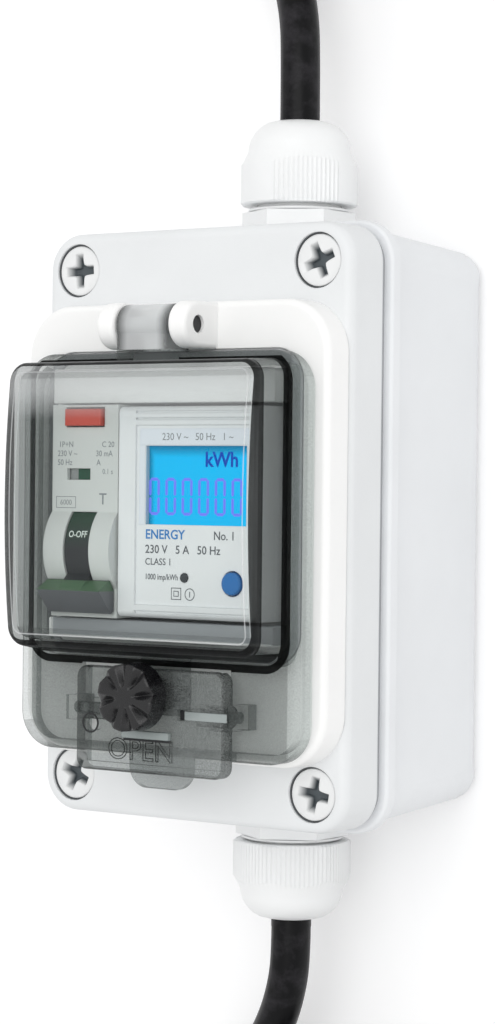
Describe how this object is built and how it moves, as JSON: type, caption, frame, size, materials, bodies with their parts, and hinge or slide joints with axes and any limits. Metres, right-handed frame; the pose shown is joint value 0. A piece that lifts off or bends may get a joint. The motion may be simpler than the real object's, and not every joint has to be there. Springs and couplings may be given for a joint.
{
  "type": "portable energy metering box",
  "caption": "Small cabled box with a rail breaker and an energy meter behind a hinged smoky window; cable glands at both ends lead to a mains plug and a coupling socket.",
  "frame": {"origin": "centre of the enclosure's back face, on the surface it lies on", "axes": "+X across the window to the meter's side, +Y towards the supply gland, +Z out of the window"},
  "size_m": [0.0824, 0.6178, 0.083],
  "materials": {
    "housing_grey": "fine moulded grain, satin",
    "cover_grey": "fine moulded grain, satin",
    "frame_white": "smooth satin",
    "seal_black": "matt",
    "smoky_clear": "transparent, polished",
    "knob_black": "satin",
    "steel": "plated",
    "brass": "bright",
    "device_white": "satin",
    "toggle_green": "satin",
    "button_red": "satin",
    "flag_two_tone": "satin",
    "display_clear": "transparent, polished",
    "display_blue": "lit from behind",
    "board_green": "satin",
    "lamp_dark": "clear dark",
    "key_blue": "satin",
    "device_grey": "satin",
    "wire_brown": "satin",
    "wire_blue": "satin",
    "wire_green": "satin",
    "gland_white": "satin",
    "cable_black": "satin",
    "screw_white": "satin"
  },
  "bodies": {
    "enclosure": {"rear_case": "housing_grey", "cover_gasket": "seal_black", "front_cover": "cover_grey", "cover_screws": "screw_white", "cover_frame": "frame_white", "window_seal": "seal_black", "hinge_pin": "steel", "mounting_rail": "steel", "rail_screws": "steel", "breaker_case": "device_white", "breaker_terminals": "steel", "meter_case": "device_grey", "meter_bezel": "device_white", "display_window": "display_clear", "meter_display": "display_blue", "meter_board": "board_green", "pulse_lamp": "lamp_dark", "meter_terminals": "steel", "earth_block": "brass", "earth_screws": "steel", "line_wires": "wire_brown", "neutral_wires": "wire_blue", "earth_wires": "wire_green", "supply_gland_body": "gland_white", "outlet_gland_body": "gland_white", "supply_gland_cap": "gland_white", "outlet_gland_cap": "gland_white", "gland_seals": "seal_black", "gland_washers": "seal_black", "gland_locknuts": "gland_white", "supply_tail": "cable_black", "outlet_tail": "cable_black", "supply_lead": "cable_black", "outlet_lead": "cable_black", "supply_hank": "cable_black", "outlet_hank": "cable_black", "supply_tie": "knob_black", "outlet_tie": "knob_black", "plug_body": "cable_black", "plug_relief": "cable_black", "plug_pins": "steel", "plug_earth": "steel", "coupling_body": "cable_black", "coupling_relief": "cable_black", "coupling_contacts": "brass", "coupling_earth": "steel"},
    "door": {"window_door": "smoky_clear", "latch_pins": "steel"},
    "latch": {"latch_tab": "smoky_clear"},
    "knob": {"lock_knob": "knob_black", "knob_stem": "knob_black"},
    "toggle": {"breaker_toggle": "toggle_green"},
    "tester": {"test_button": "button_red"},
    "flag": {"contact_flag": "flag_two_tone"},
    "key": {"meter_key": "key_blue"},
    "breaker_catch": {"breaker_clip": "device_grey"},
    "meter_catch": {"meter_clip": "device_grey"}
  },
  "joints": [
    {"name": "door_hinge", "type": "hinge", "parent": "enclosure", "child": "door", "pos_m": [0, 0.0416, 0.073], "axis": [-1, 0, 0], "range_deg": [0, 110]},
    {"name": "latch_tilt", "type": "hinge", "parent": "door", "child": "latch", "pos_m": [0, -0.039, 0.0703], "axis": [-1, 0, 0], "range_deg": [0, 12], "stiffness_Nm_per_rad": 0.05, "springref_deg": -2.86},
    {"name": "lock_knob_turn", "type": "hinge", "parent": "door", "child": "knob", "pos_m": [0, -0.0354, 0.079], "axis": [0, 0, 1], "range_deg": [0, 90]},
    {"name": "toggle_turn", "type": "hinge", "parent": "enclosure", "child": "toggle", "pos_m": [-0.0185, -0.0055, 0.063], "axis": [-1, 0, 0], "range_deg": [0, 60]},
    {"name": "contact_flag_slide", "type": "slide", "parent": "enclosure", "child": "flag", "axis": [1, 0, 0], "range_m": [0, 0.0031]},
    {"name": "test_button_press", "type": "slide", "parent": "enclosure", "child": "tester", "axis": [0, 0, -1], "range_m": [0, 0.0012], "stiffness_N_per_m": 800, "springref_m": -0.0005},
    {"name": "meter_key_press", "type": "slide", "parent": "enclosure", "child": "key", "axis": [0, 0, -1], "range_m": [0, 0.0008], "stiffness_N_per_m": 800, "springref_m": -0.0005},
    {"name": "breaker_clip_slide", "type": "slide", "parent": "enclosure", "child": "breaker_catch", "axis": [0, -1, 0], "range_m": [0, 0.0025], "stiffness_N_per_m": 2000, "springref_m": -0.0005},
    {"name": "meter_clip_slide", "type": "slide", "parent": "enclosure", "child": "meter_catch", "axis": [0, -1, 0], "range_m": [0, 0.0025], "stiffness_N_per_m": 2000, "springref_m": -0.0005}
  ],
  "couplings": [
    {"joint": "contact_flag_slide", "follows": "toggle_turn", "m_per_rad": 0.0029}
  ]
}
